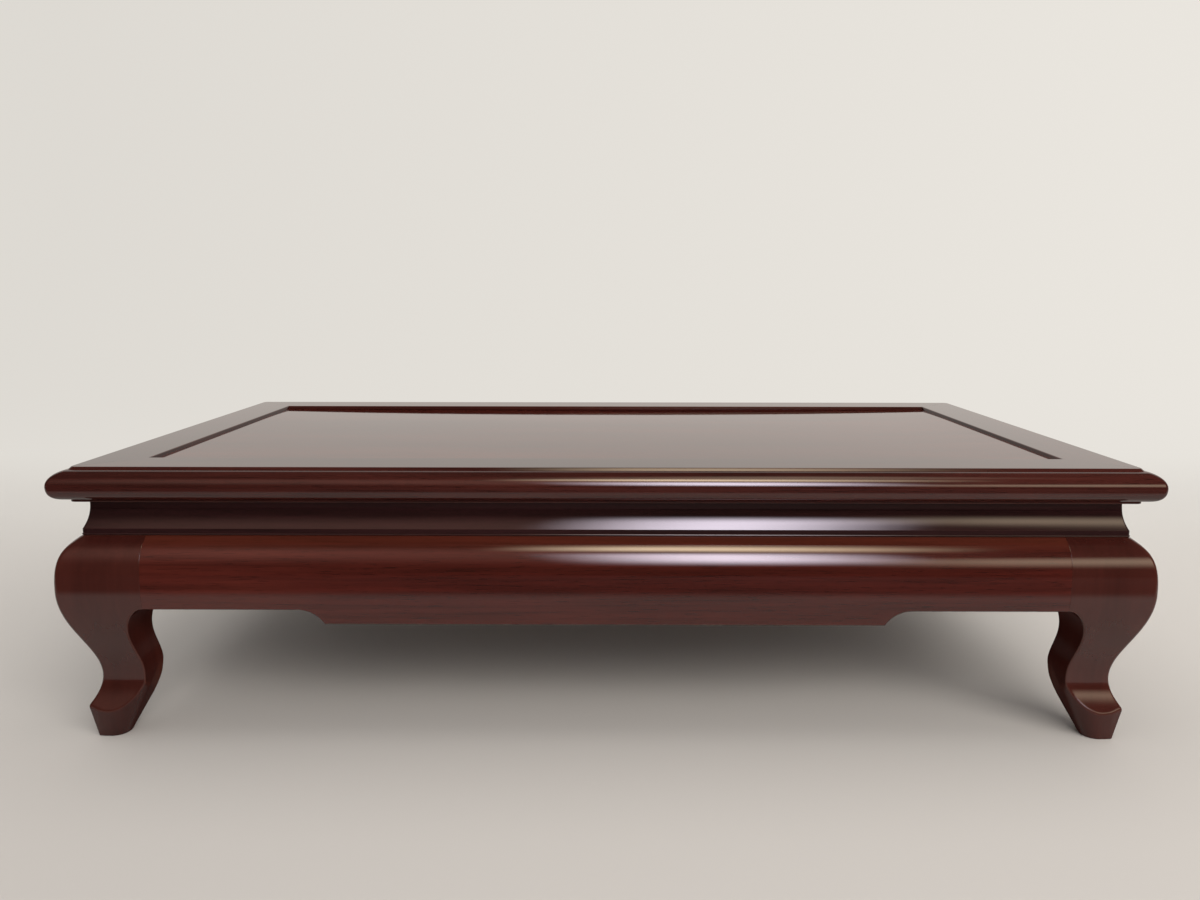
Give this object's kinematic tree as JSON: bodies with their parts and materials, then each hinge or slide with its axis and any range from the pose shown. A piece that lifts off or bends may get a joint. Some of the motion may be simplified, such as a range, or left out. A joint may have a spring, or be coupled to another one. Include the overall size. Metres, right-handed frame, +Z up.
{
  "type": "flower stand",
  "caption": "Low East Asian flower stand with a sunk-panel top, hollow waist, bulging aprons with a lowered middle and curved cabriole legs.",
  "frame": {"origin": "centre of the stand's footprint, on the floor", "axes": "+X along the long side, to the right seen from the front; +Y to the back; +Z up"},
  "size_m": [0.606, 0.33, 0.158],
  "materials": {
    "frame_rosewood": "gloss lacquer",
    "panel_rosewood": "gloss lacquer",
    "waist_rosewood": "gloss lacquer",
    "apron_rosewood": "gloss lacquer",
    "leg_rosewood": "gloss lacquer",
    "inner_wood": "bare planed wood",
    "zinc_steel": "zinc plated"
  },
  "bodies": {
    "root": {"top_rail_front": "frame_rosewood", "top_rail_right": "frame_rosewood", "top_rail_back": "frame_rosewood", "top_rail_left": "frame_rosewood", "top_panel": "panel_rosewood", "panel_batten_left": "inner_wood", "panel_batten_right": "inner_wood", "mitre_tongue_front_left": "inner_wood", "mitre_tongue_front_right": "inner_wood", "mitre_tongue_back_right": "inner_wood", "mitre_tongue_back_left": "inner_wood", "waist_front": "waist_rosewood", "waist_right": "waist_rosewood", "waist_back": "waist_rosewood", "waist_left": "waist_rosewood", "apron_front": "apron_rosewood", "apron_right": "apron_rosewood", "apron_back": "apron_rosewood", "apron_left": "apron_rosewood", "leg_front_left": "leg_rosewood", "leg_front_right": "leg_rosewood", "leg_back_right": "leg_rosewood", "leg_back_left": "leg_rosewood", "glue_block_front_left": "inner_wood", "glue_block_front_middle": "inner_wood", "glue_block_front_right": "inner_wood", "glue_block_back_left": "inner_wood", "glue_block_back_middle": "inner_wood", "glue_block_back_right": "inner_wood", "glue_block_left": "inner_wood", "glue_block_right": "inner_wood", "block_screws": "zinc_steel"}
  },
  "joints": []
}
